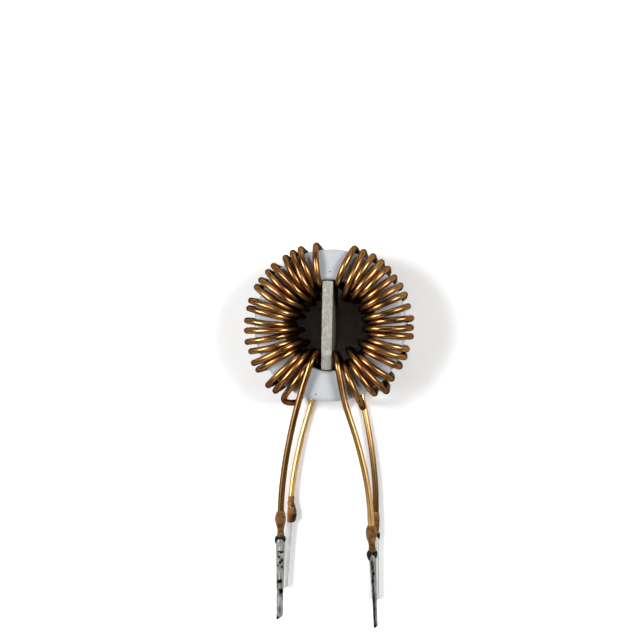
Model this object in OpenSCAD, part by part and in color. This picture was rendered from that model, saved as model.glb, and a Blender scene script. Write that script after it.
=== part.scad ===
// Two-winding toroidal inductor: a white-coated ferrite ring, an insulating plate across its
// bore, and on each half a hand-wound coil of enamelled copper wire with two tinned leads.
// It lies on its back: the ring's axis is +Z, and the leads run towards -Y.

/* [Core] */
// Outside diameter of the coated ring
core_od = 25.4; // [24:0.2:30]
// Radial thickness of the coated ring, from its rim to its bore
core_wall = 5.2; // [4:0.1:5.4]
// Height of the coated ring along its axis
core_h = 10.4; // [8:0.2:16]
// Radius of the ring's rounded edges
core_edge_r = 0.8; // [0.6:0.05:1]
// Thickness of the white coating
coat_t = 0.35; // [0.2:0.05:0.5]

/* [Wire] */
// Diameter of the enamelled wire
wire_d = 1.05; // [0.8:0.01:1.1]
// Clearance between a wire and what it lies on
wire_gap = 0.05; // [0.03:0.01:0.08]
// How far a run across the front face bows up
wire_bow = 0.12; // [0:0.02:0.2]
// Bend radius of the wire's middle where it comes over the ring's front edge
crest_r = 2.4; // [2:0.1:2.6]

/* [Divider] */
// Thickness of the insulating plate
divider_t = 1.75; // [1:0.05:1.8]
// How far the plate stands out of each face of the ring
divider_proud = 0.2; // [0:0.1:0.4]
// Clearance between the plate's ends and the bore
divider_gap = 0.04; // [0.02:0.01:0.1]
// Sideways offset of the plate from the bore's centre
divider_shift = -0.35; // [-0.4:0.05:0.2]
// Lean of the plate across the bore
divider_lean = 1.1; // [0:0.1:2]

/* [Leads] */
// Distance from the ring's rim over which a lead curves before it runs straight
lead_curve = 18; // [14:0.5:18]
// Rise of the rear leads from the ring's rim to the end of their curve
rear_lead_rise = 0.6; // [0.5:0.05:1]
// Diameter of the tinned ends
tin_d = 1.05; // [0.9:0.01:1.1]
// Length of the tinned ends
tin_len = 12.1; // [8:0.1:16]
// Slope of the cut at the tip of a tinned end
tip_cut = 35; // [0:5:45]

/* [Varnish] */
// Length of the swollen varnish bead above each tinned end
bead_len = 3.1; // [2:0.1:3.8]
// Largest diameter of the varnish bead
bead_d = 1.95; // [1.5:0.05:2]
// Length of the burnt neck between the bead and the collar
neck_len = 1.1; // [1.1:0.1:1.5]
// Length of the charred collar just above each tinned end
collar_len = 1.7; // [1:0.1:2.5]
// Largest diameter of the charred collar
collar_d = 1.8; // [1.5:0.05:2]

/* [Hidden] */

LEFT = -1;
RIGHT = 1;
wire_sides = 8;
corner_steps = 3;
lead_steps = 8;
edge_steps = 8;
bead_steps = 12;
round_fn = 64;

// Each turn is [angle at the rim, angle at the bore, slack at the rim, slack at the bore].
// Angles are in degrees from the top of the ring, towards the winding's own side.
// The first pass climbs from the leads to the top and lies on the core.
left_first_pass = [
  [146.5, 152, 1.9, 0], [134, 135, 1.3, 0], [121.7, 124.5, 1, 0], [108, 114, 0.8, 0],
  [101.3, 103.5, 1, 0], [86.5, 90.5, 0.8, 0], [78, 80.5, 0.7, 0], [62, 69.5, 0.7, 0],
  [49, 53, 0.5, 0], [33, 37, 0.3, 0], [20.5, 25, 0.4, 0], [9.3, 14, 0.3, 0]
];
right_first_pass = [
  [157.5, 160, 1.7, 0], [146.5, 149.5, 0.3, 0], [130.5, 136, 0.3, 0], [120.2, 125, 0.2, 0],
  [107, 110.5, 0.1, 0], [97.7, 101, 0.3, 0], [85, 86, 0.3, 0], [67.7, 70, 0.2, 0],
  [53.4, 55.5, 0.1, 0], [46, 45, 0.2, 0], [32.4, 31, 0.3, 0], [18.4, 11.5, 0.2, 0]
];
// The second pass comes back down between the first turns and lies on them in the bore.
left_second_pass = [
  [27, 28.5, 0.4, 0.3], [43.4, 40.5, 0.5, 0.5], [56.7, 57.5, 0.6, 0.3], [72.6, 73, 0.7, 0.1],
  [93.6, 96.5, 0.8, 0.1], [116.3, 119.5, 1.1, 0.3], [140.2, 142, 1.1, 0.2]
];
right_second_pass = [
  [25, 27, 0.2, 0.6], [39.5, 41.5, 0.3, 0.1], [60.7, 63.5, 0.2, 0], [76.3, 80.5, 0.1, 0],
  [91.6, 96.5, 0.2, 0], [112.8, 119.5, 0.2, 0], [139.2, 143, 1.2, 0.7]
];
// Each lead is [x at the ring's rim, x at the end of its curve, sideways slope of its end,
// length of that end up to the tin, what its neck lacks, what its tinned end lacks].
left_leads = [[-5, -8, 0.01, 5.9, 0, 0], [-3.8, -7.9, 0.07, 5.1, 1, 0]];
right_leads = [[2.6, 6.85, 0.045, 7.9, 0, 1.2], [4.75, 7.35, 0.01, 8.2, 0.4, 1.5]];
FRONT = 0;
REAR = 1;
// Where each front lead drops into the bore, and where it reaches the back of the ring
left_lead_entry = [154.5, 160];
right_lead_entry = [167, 168];

// Twist of one wire from the front of the bore to its back, and from the back of the rim to its front
bore_twist = 2;
rim_twist = 0.3;
// The first turn of the left coil starts far round the rim
left_start_twist = 8;
right_start_twist = 3;
// Power of the curve by which a lead eases into its straight end
lead_ease = 1.7;
// Room between the wire's bend over the front edge and that edge, for the bend's flats
crest_room = 0.1;

core_id = core_od - 2 * core_wall;
divider_h = core_h + 2 * divider_proud;
wire_r = wire_d / 2;
layer_step = wire_d + wire_gap;
rear_z2 = wire_r;
rear_z1 = rear_z2 + layer_step;
core_z0 = rear_z1 + wire_r + wire_gap;
core_z1 = core_z0 + core_h;
front_z1 = core_z1 + wire_r + wire_gap;
front_z2 = front_z1 + layer_step;
rim_r = core_od / 2 + wire_r + wire_gap;
bore_r1 = core_id / 2 - wire_r - wire_gap;
bore_r2 = bore_r1 - layer_step;
bend_r1 = core_edge_r + wire_r + wire_gap;
bend_r2 = bend_r1 + layer_step;
lead_bore_r = bore_r2 - layer_step;
lead_back_r = bore_r1 - layer_step / 3;
left_turns = concat(left_first_pass, left_second_pass);
right_turns = concat(right_first_pass, right_second_pass);
top_reach = max([for (turn = concat(left_turns, right_turns)) (rim_r + turn[2]) * cos(turn[0])]);
left_reach = max([for (turn = left_turns) (rim_r + turn[2]) * sin(turn[0])]);
right_reach = max([for (turn = right_turns) (rim_r + turn[2]) * sin(turn[0])]);
foot_reach = lead_curve + tin_len
  + max([for (lead = concat(left_leads, right_leads)) lead[3] - lead[5]]);
// Place of the ring's axis, from the middle of the part's width and length
core_place = [
  (left_reach - right_reach) / 2, (core_od / 2 + foot_reach - top_reach - wire_r) / 2, 0
];

function unit(v) = v / norm(v);
function reversed(list) = [for (i = [len(list) - 1:-1:0]) list[i]];
function flat(lists) = [for (list = lists) for (item = list) item];

// Point at radius r and height z, at an angle from the top of the ring towards one side
function polar(side, r, angle, z) = [side * r * sin(angle), r * cos(angle), z];

// Quarter bend of a turn about [r, z], from the bend angle b0
function bend(side, r, z, radius, b0, angle) = [
  for (i = [0:corner_steps]) let (b = b0 + 90 * i / corner_steps)
    polar(side, r + radius * cos(b), angle, z + radius * sin(b))
];

// Bend from the back of the ring up its rim, for a turn whose back run lies at rear_z
function rim_rise(side, turn, rear_z, twist) =
  bend(side, rim_r + turn[2] - bend_r1, rear_z + bend_r1, bend_r1, 270, turn[0] + twist);

// Rise of the bend over the front edge that keeps a turn with this slack off the edge
function crest_lift(slack) = let (
  inner = crest_r / sqrt(2) - crest_r + bend_r1,
  reach = bend_r1 + crest_room,
  out = min(reach, inner + slack)
) max(crest_room, sqrt(reach * reach - out * out) - inner);

// Bend from the rim over the front edge
function rim_crest(side, turn) = bend(
  side, rim_r + turn[2] - crest_r, front_z1 + crest_lift(turn[2]) - crest_r, crest_r, 0, turn[0]);

// Distance from the bore's centre line to the plate's face on one side, at height y in the bore
function plate_face(side, y) =
  divider_t / 2 / cos(divider_lean) + side * (divider_shift + y * tan(divider_lean));

// Angle of a wire at radius r in the bore, kept far enough round to pass beside the plate
function beside_plate(side, r, angle) = let (
  least = asin(min(1, (plate_face(side, r * cos(angle)) + wire_r + wire_gap) / r))
) min(max(angle, least), 180 - least);

// Bends from the front into the bore, and from the bore to the back, at a bore radius
function bore_drop(side, r, angle, z, radius) =
  bend(side, r + radius, z - radius, radius, 90, beside_plate(side, r, angle));
function bore_leave(side, r, angle, z, radius) =
  bend(side, r + radius, z + radius, radius, 180, beside_plate(side, r, angle));

function between(p, q) = (p + q) / 2;
function rim_middle(side, turn, twist) =
  [polar(side, rim_r + turn[2], turn[0] + twist / 2, (core_z0 + core_z1) / 2)];
function bowed(p, q, bow) = [between(p, q) + [0, 0, bow]];

// One turn, from the back of the rim, over the front and down the bore to the back again.
// The last turn of the first pass leaves the bore at the second pass's level, where it turns round.
function first_turn(side, turn, twist, is_last) = let (
  crest = rim_crest(side, turn),
  drop = bore_drop(side, bore_r1, turn[1], front_z1, bend_r1)
) concat(
  rim_rise(side, turn, rear_z1, twist), rim_middle(side, turn, twist), crest,
  bowed(crest[corner_steps], drop[0], wire_bow), drop,
  is_last
    ? bore_leave(side, bore_r1, turn[1], rear_z2, bend_r1)
    : bore_leave(side, bore_r1, turn[1] - bore_twist, rear_z1, bend_r1)
);
function second_turn(side, turn) = let (
  crest = rim_crest(side, turn),
  r = bore_r2 - turn[3],
  drop = bore_drop(side, r, turn[1], front_z2, bend_r2)
) concat(
  rim_rise(side, turn, rear_z2, -rim_twist), rim_middle(side, turn, -rim_twist), crest,
  bowed(crest[corner_steps], drop[0], wire_bow + layer_step / 4), drop,
  bore_leave(side, r, turn[1] + bore_twist, rear_z2, bend_r2)
);

// Centre line of a lead at distance s from the rim, in the plane it lies in
function lead_x(lead, s) = let (
  straight = lead[1] + sign(lead[1]) * lead[2] * (s - lead_curve),
  start = lead[1] - sign(lead[1]) * lead[2] * lead_curve
) s < lead_curve ? straight + (lead[0] - start) * pow(1 - s / lead_curve, lead_ease) : straight;
function lead_z(row, s) = row == FRONT
  ? front_z1 + layer_step / 2 * pow(max(0, 1 - s / lead_curve), 2)
  : rear_z2 + rear_lead_rise * min(1, s / lead_curve);
function lead_point(lead, row, s) = [lead_x(lead, s), -core_od / 2 - s, lead_z(row, s)];
function lead_route(lead, row) = concat(
  [for (i = [0:lead_steps]) lead_point(lead, row, lead_curve * i / lead_steps)],
  [lead_point(lead, row, lead_curve + lead[3])]
);

// The run of a front lead over the front face, down the bore and out to the back
function lead_entry(side, lead, entry) = let (
  drop = bore_drop(side, lead_bore_r, entry[0], front_z2, bend_r2)
) concat(
  [between(lead_point(lead, FRONT, 0), drop[0])], drop,
  bore_leave(side, lead_back_r, entry[1], rear_z1, bend_r1)
);

// Whole wire of one winding, from the tinned end of its front lead to that of its rear lead
function coil_route(side, leads, entry, start_twist, first_pass, second_pass) = concat(
  lead_entry(side, leads[FRONT], entry),
  flat([for (i = [0:len(first_pass) - 1])
    first_turn(side, first_pass[i], i == 0 ? start_twist : rim_twist, i == len(first_pass) - 1)]),
  flat([for (turn = second_pass) second_turn(side, turn)])
);
function wire_route(leads, coil) =
  concat(reversed(lead_route(leads[FRONT], FRONT)), coil, lead_route(leads[REAR], REAR));

left_route = wire_route(left_leads, coil_route(
  LEFT, left_leads, left_lead_entry, left_start_twist, left_first_pass, left_second_pass));
right_route = wire_route(right_leads, coil_route(
  RIGHT, right_leads, right_lead_entry, right_start_twist, right_first_pass, right_second_pass));
lead_rings = lead_steps + 2;

// Ring of points round the wire at one point of its route, squared up to the ring's axis
function wire_ring(route, i) = let (
  p = route[i],
  along = unit(route[min(i + 1, len(route) - 1)] - route[max(i - 1, 0)]),
  round = unit([-p[1], p[0], 0]),
  across = unit(round - (round * along) * along),
  up = cross(along, across)
) [for (j = [0:wire_sides - 1]) let (a = 360 * (j + 0.5) / wire_sides)
    p + wire_r * (cos(a) * across + sin(a) * up)];

// Solid wire along the points first to last of a route
module wire(route, first, last) {
  n = wire_sides;
  rings = [for (i = [first:last]) wire_ring(route, i)];
  walls = [
    for (i = [0:last - first - 1]) for (j = [0:n - 1]) let (k = (j + 1) % n)
      for (face = [[i * n + j, (i + 1) * n + k, i * n + k], [i * n + j, (i + 1) * n + j, (i + 1) * n + k]]) face
  ];
  caps = [[for (j = [0:n - 1]) j], [for (j = [n - 1:-1:0]) (last - first) * n + j]];
  translate(core_place) polyhedron(flat(rings), concat(walls, caps));
}

// Outline of the ring's section with rounded corners, set in from the coated surface
function ring_section(inset) = let (
  r = core_edge_r - inset,
  corners = [
    [core_od / 2 - core_edge_r, core_z1 - core_edge_r], [core_id / 2 + core_edge_r, core_z1 - core_edge_r],
    [core_id / 2 + core_edge_r, core_z0 + core_edge_r], [core_od / 2 - core_edge_r, core_z0 + core_edge_r]
  ]
) [for (q = [0:3]) for (i = [0:edge_steps]) let (a = 90 * (q + i / edge_steps))
    corners[q] + r * [cos(a), sin(a)]];

module ferrite_core() {
  color("dimgray") translate(core_place)
    rotate_extrude($fn = round_fn) polygon(ring_section(coat_t));
}

module core_coating() {
  color("whitesmoke") translate(core_place) difference() {
    rotate_extrude($fn = round_fn) polygon(ring_section(0));
    rotate_extrude($fn = round_fn) polygon(ring_section(coat_t));
  }
}

// Insulating plate, with ends that follow the bore
module divider_plate() {
  plate_z0 = (core_z0 + core_z1 - divider_h) / 2;
  color("lightgray") translate(core_place + [0, 0, plate_z0]) intersection() {
    cylinder(h = divider_h, r = core_id / 2 - divider_gap, $fn = round_fn);
    translate([divider_shift, 0, divider_h / 2]) rotate(-divider_lean)
      cube([divider_t, core_id, divider_h], center = true);
  }
}

module winding(route) {
  color("peru") wire(route, lead_rings - 1, len(route) - lead_rings);
}

module lead(route, row) {
  color("peru") if (row == FRONT) wire(route, 0, lead_rings - 1);
  else wire(route, len(route) - lead_rings, len(route) - 1);
}

// Puts a piece, made along +Z, on the straight end of a lead with its foot at the tinned end
module on_lead_end(lead, row) {
  foot = lead_point(lead, row, lead_curve + lead[3]);
  along = unit(foot - lead_point(lead, row, lead_curve));
  translate(foot + core_place)
    rotate([0, acos(along[2]), atan2(along[1], along[0])]) children();
}

// Profile of a lump round a wire: thin at both ends and swollen between them
function lump_profile(bore_r, lump_r, length, peak) = concat(
  [[bore_r, length], [bore_r, 0]],
  [for (i = [0:bead_steps]) let (t = i / bead_steps)
    [bore_r + skin_t + (lump_r - bore_r - skin_t) * sin(180 * pow(t, peak)), length * t]]
);
skin_t = 0.1;
lump_gap = 0.01;

module varnish_bead(lead, row) {
  bore_r = wire_r + lump_gap;
  top = -collar_len - neck_len + lead[4] - bead_len;
  color("saddlebrown") on_lead_end(lead, row) translate([0, 0, top])
    rotate_extrude($fn = round_fn) polygon(lump_profile(bore_r, bead_d / 2, bead_len, 0.8));
}

module charred_collar(lead, row) {
  bore_r = wire_r + lump_gap;
  color("black") on_lead_end(lead, row) translate([0, 0, -collar_len])
    rotate_extrude($fn = round_fn) polygon(lump_profile(bore_r, collar_d / 2, collar_len, 1.2));
}

// The cut at its tip leaves the left side the longer one
module tinned_end(lead, row) {
  length = tin_len - lead[5];
  color("silver") on_lead_end(lead, row) difference() {
    cylinder(h = length, d = tin_d, $fn = round_fn);
    translate([0, 0, length - tin_d / 2 * tan(tip_cut)]) rotate([-tip_cut, 0, 0])
      translate([-tin_d, -tin_d, 0]) cube(2 * tin_d);
  }
}

ferrite_core();
core_coating();
divider_plate();
winding(left_route);  // winding_left
winding(right_route);  // winding_right
lead(left_route, FRONT);  // lead_front_left
lead(left_route, REAR);  // lead_rear_left
lead(right_route, FRONT);  // lead_front_right
lead(right_route, REAR);  // lead_rear_right
varnish_bead(left_leads[FRONT], FRONT);  // varnish_bead_front_left
varnish_bead(left_leads[REAR], REAR);  // varnish_bead_rear_left
varnish_bead(right_leads[FRONT], FRONT);  // varnish_bead_front_right
varnish_bead(right_leads[REAR], REAR);  // varnish_bead_rear_right
charred_collar(left_leads[FRONT], FRONT);  // charred_collar_front_left
charred_collar(left_leads[REAR], REAR);  // charred_collar_rear_left
charred_collar(right_leads[FRONT], FRONT);  // charred_collar_front_right
charred_collar(right_leads[REAR], REAR);  // charred_collar_rear_right
tinned_end(left_leads[FRONT], FRONT);  // tinned_end_front_left
tinned_end(left_leads[REAR], REAR);  // tinned_end_rear_left
tinned_end(right_leads[FRONT], FRONT);  // tinned_end_front_right
tinned_end(right_leads[REAR], REAR);  // tinned_end_rear_right
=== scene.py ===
"""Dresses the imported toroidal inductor: smooth windings, lumpy varnish, soot, solder and a studio."""

import math

import bpy
from mathutils import Matrix, Vector, kdtree, noise


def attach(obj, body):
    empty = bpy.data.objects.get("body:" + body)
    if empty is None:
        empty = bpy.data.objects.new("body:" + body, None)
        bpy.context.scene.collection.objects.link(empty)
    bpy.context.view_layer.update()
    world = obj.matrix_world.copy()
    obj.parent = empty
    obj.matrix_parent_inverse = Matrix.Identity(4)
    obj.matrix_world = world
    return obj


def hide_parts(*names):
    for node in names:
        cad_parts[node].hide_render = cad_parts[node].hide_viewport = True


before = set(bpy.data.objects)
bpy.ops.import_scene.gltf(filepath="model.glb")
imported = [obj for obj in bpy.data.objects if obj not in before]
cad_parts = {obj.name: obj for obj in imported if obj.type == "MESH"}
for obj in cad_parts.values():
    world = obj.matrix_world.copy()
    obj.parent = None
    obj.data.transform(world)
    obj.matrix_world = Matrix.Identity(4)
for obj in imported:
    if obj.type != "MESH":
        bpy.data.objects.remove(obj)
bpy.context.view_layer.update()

bl_info = {
    "name": "Toroidal Inductor",
    "version": (1, 0, 0),
    "blender": (4, 5, 0),
    "location": "View3D > Sidebar > Inductor",
    "description": "Winds, coats and lights a two-winding toroidal inductor",
    "category": "Add Mesh",
}

MM = 0.001
# Width of the picture and place of the ring's axis in it, in pixels
PICTURE, RING_AT = 640, (329.2, 325.3)
LEFT, RIGHT = -1, 1
FRONT, REAR = 0, 1
SIDE_NAMES = {LEFT: "left", RIGHT: "right"}
ROW_NAMES = {FRONT: "front", REAR: "rear"}

# Each turn is (angle at the rim, angle at the bore, slack at the rim, slack at the bore),
# with angles in degrees from the top of the ring and slack in millimetres.
FIRST_PASS = {
    LEFT: [
        (146.5, 152, 1.9, 0), (134, 135, 1.3, 0), (121.7, 124.5, 1, 0), (108, 114, 0.8, 0),
        (101.3, 103.5, 1, 0), (86.5, 90.5, 0.8, 0), (78, 80.5, 0.7, 0), (62, 69.5, 0.7, 0),
        (49, 53, 0.5, 0), (33, 37, 0.3, 0), (20.5, 25, 0.4, 0), (9.3, 14, 0.3, 0),
    ],
    RIGHT: [
        (157.5, 160, 1.7, 0), (146.5, 149.5, 0.3, 0), (130.5, 136, 0.3, 0), (120.2, 125, 0.2, 0),
        (107, 110.5, 0.1, 0), (97.7, 101, 0.3, 0), (85, 86, 0.3, 0), (67.7, 70, 0.2, 0),
        (53.4, 55.5, 0.1, 0), (46, 45, 0.2, 0), (32.4, 31, 0.3, 0), (18.4, 11.5, 0.2, 0),
    ],
}
SECOND_PASS = {
    LEFT: [
        (27, 28.5, 0.4, 0.3), (43.4, 40.5, 0.5, 0.5), (56.7, 57.5, 0.6, 0.3), (72.6, 73, 0.7, 0.1),
        (93.6, 96.5, 0.8, 0.1), (116.3, 119.5, 1.1, 0.3), (140.2, 142, 1.1, 0.2),
    ],
    RIGHT: [
        (25, 27, 0.2, 0.6), (39.5, 41.5, 0.3, 0.1), (60.7, 63.5, 0.2, 0), (76.3, 80.5, 0.1, 0),
        (91.6, 96.5, 0.2, 0), (112.8, 119.5, 0.2, 0), (139.2, 143, 1.2, 0.7),
    ],
}
# Each lead is (x at the ring's rim, x at the end of its curve, sideways slope of its end,
# length of that end up to the tin, what its neck lacks, what its tinned end lacks).
LEADS = {
    LEFT: [(-5, -8, 0.01, 5.9, 0, 0), (-3.8, -7.9, 0.07, 5.1, 1, 0)],
    RIGHT: [(2.6, 6.85, 0.045, 7.9, 0, 1.2), (4.75, 7.35, 0.01, 8.2, 0.4, 1.5)],
}
# Angle where each front lead enters the bore, and where it leaves it at the back
LEAD_ENTRY = {LEFT: (154.5, 160), RIGHT: (167, 168)}
# How far the first turn of each winding twists along the rim, and the others in the bore and at the rim
START_TWIST = {LEFT: 8, RIGHT: 3}
BORE_TWIST, RIM_TWIST = 2, 0.3
# Share of the start's twist that the first loop takes up over the rim, its fall there in millimetres,
# and how late along its arch it turns aside
LOOP_HOOK, LOOP_FALL, LOOP_POWER = 0.55, 5, 30
# More fall at the rim for each millimetre of slack there
SLACK_FALL = 0.6
# Second pass: place of its arch's top as a share of the wall from the rim, more rise and more
# fall at the bore as shares of a layer, and more fall at the rim in millimetres
TOP_SHARE, LAYER_RISE, LAYER_FALL, RIM_FALL = 0.63, 0.25, 0.8, 0.15
# How much of a lead's curve lies near the ring
LEAD_EASE = 1.7

# How dark each lead is painted at the ring and at its bead, then how bright, as painted shade and painted
# highlight
LEAD_LOOK = {
    (LEFT, FRONT): (0.65, 0.85, 0, 0),
    (LEFT, REAR): (0, 0, 0.9, 1),
    (RIGHT, FRONT): (0.35, 0, 0.2, 0.95),
    (RIGHT, REAR): (0, 1.8, 0.9, -1),
}
# Where the look of a lead begins past the ring's rim, and over which length it grows, in millimetres
LOOK_PAST, LOOK_OVER = 4, 5
# How scorched the wire is by its bead, how far past it and over which length, in millimetres
SCORCH, SCORCH_PAST, SCORCH_OVER = 0.8, 1.5, 2
# How dark the turns are painted outside the ring and in its bore, as painted shade, what share of that
# loose turns lack, and from which distance off the rim and over which length, in millimetres
RUN_SHADE, LOOSE_LACK, LOOSE_FROM, LOOSE_OVER = 0.8, 0.7, 1.7, 0.4
# How far each bead and collar hangs to the right of its lead, in millimetres
SAG = {(LEFT, FRONT): -0.05, (LEFT, REAR): 0.12, (RIGHT, FRONT): -0.06, (RIGHT, REAR): 0}
# How full each bead and collar is
PLUMP = {(LEFT, FRONT): 1, (LEFT, REAR): 1, (RIGHT, FRONT): 0.9, (RIGHT, REAR): 0.35}
# Leads whose bead and collar ran together into one drop
DROPS = {(LEFT, REAR)}
# Radius of the solder at the top and at the tip of each tinned end, in millimetres,
# how much darker it is, and how white, which on the rear ends is painted light
SOLDER_LOOK = {
    (LEFT, FRONT): (0.74, 0.54, 0.2, 0),
    (LEFT, REAR): (0.545, 0.5, 0, 0.8),
    (RIGHT, FRONT): (0.54, 0.34, 0.45, 0),
    (RIGHT, REAR): (0.54, 0.5, 0, 0.8),
}
# Dark specks in the coat of the front face, from the ring's axis, in millimetres
COAT_SPECKS = [(0.13, 8.93), (-2.24, -11.48)]
# Dark spots on the tinned ends, mostly burnt: (distance from the top, degrees round from the right side,
# radius)
BURNT_SPOTS = {
    (LEFT, FRONT): [
        (0.7, 95, 0.22), (0.8, 70, 0.26), (0.75, 45, 0.24), (1.6, 100, 0.24), (2.1, 55, 0.3),
        (2.5, 85, 0.3), (3.0, 120, 0.24), (3.3, 50, 0.28), (5.6, 85, 0.42), (5.7, 110, 0.3),
        (7.2, 58, 0.5), (7.0, 90, 0.25), (12, 110, 0.7),
    ],
    (RIGHT, FRONT): [(1.9, 90, 0.3), (3.2, 130, 0.25), (6, 100, 0.25), (10.6, 90, 0.4)]
    # A run of small spots that paints a dark line along the front right end
    + [(0.3 * k, 106 + 8 * math.sin(1.7 * k), 0.19) for k in range(36)],
}
# Lights: name, place from the middle of the ring's front face and diameter in millimetres,
# share of the power
LIGHTS = [
    ("left light", (-285, 30, 365), 210, 1), ("right light", (310, 60, 365), 210, 0.93),
    ("back light", (20, 520, 220), 320, 0.18), ("front light", (-20, -520, 220), 320, 0.18),
]


def length(name, default, description):
    """A size in millimetres that the sidebar shows."""
    text = description + ", in millimetres"
    return bpy.props.FloatProperty(name=name, description=text, default=default, precision=3)


def angle(name, default, description):
    """An angle in degrees that the sidebar shows."""
    return bpy.props.FloatProperty(name=name, description=description + ", in degrees", default=default)


def paint(name, default, description):
    """A colour that the sidebar shows."""
    return bpy.props.FloatVectorProperty(
        name=name, description=description, default=default, size=3, min=0, max=1, subtype="COLOR"
    )


class InductorSizes(bpy.types.PropertyGroup):
    """Sizes of the inductor, those of its solid model but for the arches of the turns."""

    core_od: length("Core diameter", 25.4, "Outside diameter of the coated ring")
    core_wall: length("Core wall", 5.2, "Radial thickness of the coated ring")
    core_h: length("Core height", 10.4, "Height of the coated ring along its axis")
    core_edge_r: length("Core edge", 0.8, "Radius of the ring's rounded edges")
    wire_d: length("Wire", 1.05, "Diameter of the enamelled wire")
    wire_gap: length("Wire gap", 0.05, "Clearance between a wire and what it lies on")
    arch_rise: length("Arch rise", 0.65, "How far the turns arch up over the ring's front face")
    arch_fall: length("Arch fall", 1.95, "Fall from the top of that arch to the ring's rim")
    divider_t: length("Plate", 1.75, "Thickness of the insulating plate")
    divider_proud: length("Plate proud", 0.2, "How far the plate stands out of each face of the ring")
    divider_gap: length("Plate gap", 0.04, "Clearance between the plate's ends and the bore")
    divider_shift: length("Plate shift", -0.35, "Sideways offset of the plate")
    divider_lean: angle("Plate lean", 1.1, "Lean of the plate across the bore")
    lead_curve: length("Lead curve", 18, "Distance over which a lead curves")
    rear_lead_rise: length("Rear lead rise", 0.6, "Rise of the rear leads")
    tin_len: length("Tinned end", 12.1, "Length of the longest tinned ends")
    tip_cut: angle("Tip cut", 35, "Slope of the cut at the tips")
    bead_len: length("Bead length", 3.1, "Length of the varnish beads")
    bead_d: length("Bead", 1.95, "Largest diameter of the varnish beads")
    neck_len: length("Neck", 1.1, "Length of the longest burnt necks under the beads")
    collar_len: length("Collar length", 1.7, "Length of the charred collars")
    collar_d: length("Collar", 1.8, "Largest diameter of the charred collars")


class InductorFinish(bpy.types.PropertyGroup):
    """Colours of the inductor."""

    copper: paint("Copper", (0.42, 0.215, 0.074), "Copper where it is clean")
    copper_deep: paint("Deep copper", (0.26, 0.118, 0.040), "Copper where it is darker")
    # Painted highlight: the pale copper that brightens some leads
    copper_bright: paint("Bright copper", (0.80, 0.52, 0.21), "Copper of the brightest leads")
    copper_red: paint("Red copper", (0.35, 0.14, 0.042), "Copper where it is redder")
    # Painted shade: the dark copper of the shaded leads and of the turns' outer and bore runs
    copper_dark: paint("Dark copper", (0.125, 0.066, 0.019), "Copper where it has gone dark")
    copper_edge: paint("Copper edge", (0.07, 0.033, 0.011), "Copper seen at a low angle")
    coating: paint("Coating", (0.42, 0.44, 0.455), "White coat of the ring")
    # Painted shade: the coat down the bore is painted dark brown to stand in for the shadow there
    bore: paint("Bore", (0.06, 0.035, 0.022), "Coat on the wall of the bore, which has gone dark")
    speck: paint("Speck", (0.05, 0.045, 0.04), "Dark specks in the coat")
    laminate: paint("Laminate", (0.32, 0.308, 0.272), "Fibre laminate of the plate")
    # Painted shade: the plate's faces, which run down into the bore, are painted dark
    laminate_face: paint("Laminate faces", (0.12, 0.10, 0.08), "Uncut faces of the plate")
    varnish: paint("Varnish", (0.125, 0.054, 0.0125), "Burnt varnish beads")
    amber: paint("Amber", (0.30, 0.115, 0.018), "Burnt varnish where it is thin")
    # Burnt: also the colour of the painted shade on the beads' sides and in their troughs
    burnt: paint("Burnt", (0.012, 0.008, 0.005), "Varnish that burnt black")
    ash: paint("Ash", (0.03, 0.027, 0.025), "Paler flecks in the soot")
    soot: paint("Soot", (0.008, 0.007, 0.006), "Charred collars")
    solder: paint("Solder", (0.68, 0.68, 0.66), "Tinned ends")
    # Painted light: the pale, matt solder that stands in for the brightly lit rear ends
    solder_pale: paint("Pale solder", (0.47, 0.47, 0.455), "Matt tinned ends at the back")
    solder_edge: paint("Solder edge", (0.3, 0.3, 0.3), "Tinned ends seen at a low angle")
    ferrite: paint("Ferrite", (0.03, 0.03, 0.032), "Ferrite under the coat")


class InductorStudio(bpy.types.PropertyGroup):
    """Camera and light."""

    view_distance: length("Camera distance", 125, "Distance from the ring's front face to the camera")
    view_offset: length("Camera offset", 11.15, "How far the camera stands to the right of the ring's axis")
    pixel: length("Pixel", 0.1659, "Width of one picture pixel at the ring's front face")
    floor: paint("Floor", (0.93, 0.93, 0.93), "Plain floor")
    light_power: bpy.props.FloatProperty(
        name="Lights", description="Power of the strongest light", default=2.2, unit="POWER"
    )
    horizon: paint("Horizon", (0.36, 0.36, 0.36), "Sky low down")
    zenith: paint("Zenith", (0.01, 0.009, 0.008), "Sky overhead")
    sky: bpy.props.FloatProperty(name="Sky", description="Strength of the sky", default=0.75)


def sizes():
    return bpy.context.scene.inductor_sizes


def finish():
    return bpy.context.scene.inductor_finish


def clamped(value):
    """A value kept between 0 and 1."""
    return max(0, min(1, value))


# Levels and radii that follow from the sizes

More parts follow.
